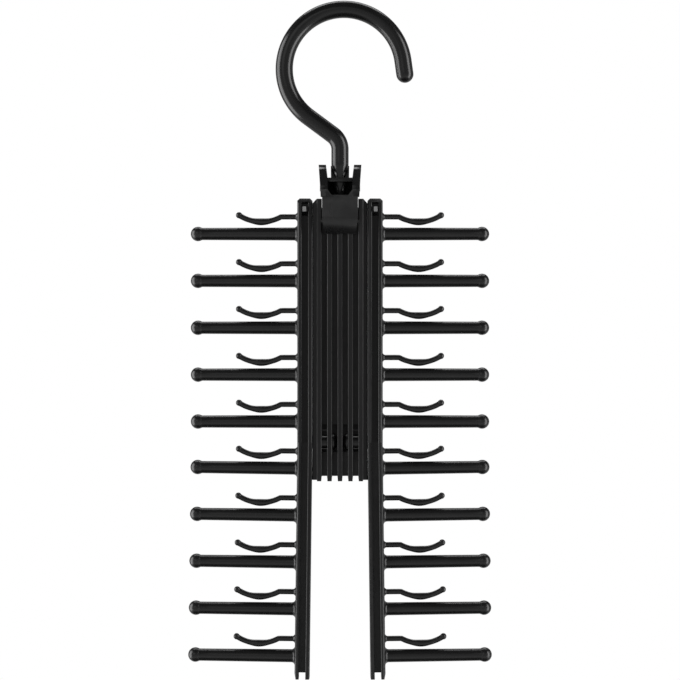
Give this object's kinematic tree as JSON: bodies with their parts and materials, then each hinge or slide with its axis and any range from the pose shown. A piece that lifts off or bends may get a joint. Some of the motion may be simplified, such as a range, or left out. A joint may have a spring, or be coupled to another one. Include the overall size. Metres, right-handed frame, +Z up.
{
  "type": "folding tie hanger",
  "caption": "Folding plastic tie hanger: a swivel hook above a ribbed spine, with a rack of round arms and springy fingers on each side that swings about a central hub.",
  "frame": {"origin": "the top of the hook's inside, where it rests on a closet rod, on the stem's axis", "axes": "+X to the right as seen from the front, -Y to the front, +Z up; the stem and the spine lie on the Z axis"},
  "size_m": [0.1518, 0.0165, 0.3388],
  "materials": {
    "hook": "glossy black, moulded",
    "head": "satin-gloss black, moulded",
    "lever": "glossy black, moulded",
    "spine": "satin-gloss black, moulded",
    "rack": "glossy black, moulded"
  },
  "bodies": {
    "hook": {"hook": "hook"},
    "spine": {"spine": "spine", "swivel_head": "head"},
    "latch": {"latch_lever": "lever"},
    "left_rack": {"left_rail": "rack", "left_axle": "rack", "left_arm_01": "rack", "left_arm_02": "rack", "left_arm_03": "rack", "left_arm_04": "rack", "left_arm_05": "rack", "left_arm_06": "rack", "left_arm_07": "rack", "left_arm_08": "rack", "left_arm_09": "rack", "left_arm_10": "rack", "left_finger_01": "rack", "left_finger_02": "rack", "left_finger_03": "rack", "left_finger_04": "rack", "left_finger_05": "rack", "left_finger_06": "rack", "left_finger_07": "rack", "left_finger_08": "rack", "left_finger_09": "rack", "left_finger_10": "rack"},
    "right_rack": {"right_rail": "rack", "right_axle": "rack", "right_arm_01": "rack", "right_arm_02": "rack", "right_arm_03": "rack", "right_arm_04": "rack", "right_arm_05": "rack", "right_arm_06": "rack", "right_arm_07": "rack", "right_arm_08": "rack", "right_arm_09": "rack", "right_arm_10": "rack", "right_finger_01": "rack", "right_finger_02": "rack", "right_finger_03": "rack", "right_finger_04": "rack", "right_finger_05": "rack", "right_finger_06": "rack", "right_finger_07": "rack", "right_finger_08": "rack", "right_finger_09": "rack", "right_finger_10": "rack"}
  },
  "joints": [
    {"name": "hook_swivel", "type": "hinge", "parent": "hook", "child": "spine", "pos_m": [0, 0, -0.0809], "axis": [0, 0, 1], "continuous": true},
    {"name": "latch_tilt", "type": "hinge", "parent": "spine", "child": "latch", "pos_m": [0, -0.003, -0.08422], "axis": [1, 0, 0], "range_deg": [-14, 0]},
    {"name": "left_fold", "type": "hinge", "parent": "spine", "child": "left_rack", "pos_m": [0, 0, -0.21207], "axis": [1, 0, 0], "range_deg": [0, 45]},
    {"name": "right_fold", "type": "hinge", "parent": "spine", "child": "right_rack", "pos_m": [0, 0, -0.21207], "axis": [1, 0, 0], "range_deg": [-45, 0]}
  ]
}
